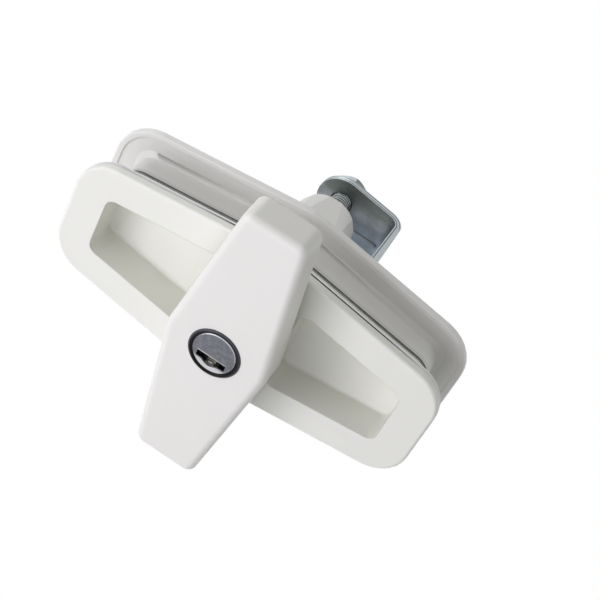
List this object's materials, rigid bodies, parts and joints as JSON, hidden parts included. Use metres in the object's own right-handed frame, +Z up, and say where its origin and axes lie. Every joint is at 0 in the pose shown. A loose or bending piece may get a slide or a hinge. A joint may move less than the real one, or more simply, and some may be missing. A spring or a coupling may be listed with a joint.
{
  "type": "twist_lock",
  "caption": "White plastic twist lock for a panel door, with finger hollows, a lozenge handle with a key lock, an inner plate and a steel hook",
  "frame": {"origin": "on the axis of the spindle, in the plane of the door's outer face (mount door_cutout)", "axes": "+X along the plates, +Y through the door from the hand to the hook, +Z up across the plates"},
  "size_m": [0.17, 0.1388, 0.1374],
  "materials": {
    "white_plastic": "moulded plastic with a low satin sheen",
    "white_handle": "moulded plastic with a fine even grain",
    "white_foam": "closed-cell foam, matt",
    "nylon": "natural nylon",
    "zinc_steel": "steel with a bright blue zinc plating",
    "spring_steel": "phosphated spring steel",
    "zinc_casting": "die-cast zinc, as cast",
    "black_lock": "black satin finish on a zinc casting",
    "plug_metal": "nickel-plated die-cast zinc",
    "brass": "stamped brass"
  },
  "bodies": {
    "plates": {"front_plate": "white_plastic", "front_gasket": "white_foam", "rear_plate": "white_plastic", "plate_screws": "zinc_steel", "thrust_washer": "nylon", "spindle_bush": "nylon"},
    "handle": {"handle_shell": "white_handle", "handle_back": "white_handle", "handle_hub": "zinc_casting", "hub_screws": "zinc_steel", "stop_plate": "zinc_steel", "hub_circlip": "spring_steel", "spindle": "zinc_steel", "spindle_pin": "spring_steel", "hook": "zinc_steel", "spring_washer": "zinc_steel", "hook_nut": "zinc_steel", "lock_housing": "black_lock", "lock_nut": "zinc_casting"},
    "key_plug": {"lock_plug": "plug_metal", "lock_cam": "zinc_casting", "cam_screw": "zinc_steel"},
    "wafers": {"plug_wafers": "brass"},
    "bolt": {"lock_bolt": "zinc_steel"}
  },
  "joints": [
    {"name": "handle_turn", "type": "hinge", "parent": "plates", "child": "handle", "pos_m": [0, 0, 0], "axis": [0, 1, 0], "range_deg": [0, 91]},
    {"name": "key_turn", "type": "hinge", "parent": "handle", "child": "key_plug", "pos_m": [0, 0, 0], "axis": [0, 1, 0], "range_deg": [0, 90]},
    {"name": "bolt_slide", "type": "slide", "parent": "handle", "child": "bolt", "axis": [0.9998, 0, 0.0175], "range_m": [0, 0.00453]},
    {"name": "wafer_press", "type": "slide", "parent": "key_plug", "child": "wafers", "axis": [0.0175, 0, -0.9998], "range_m": [0, 0.0005], "stiffness_N_per_m": 50}
  ],
  "couplings": [
    {"joint": "bolt_slide", "follows": "key_turn", "m_per_rad": 0.002881}
  ]
}
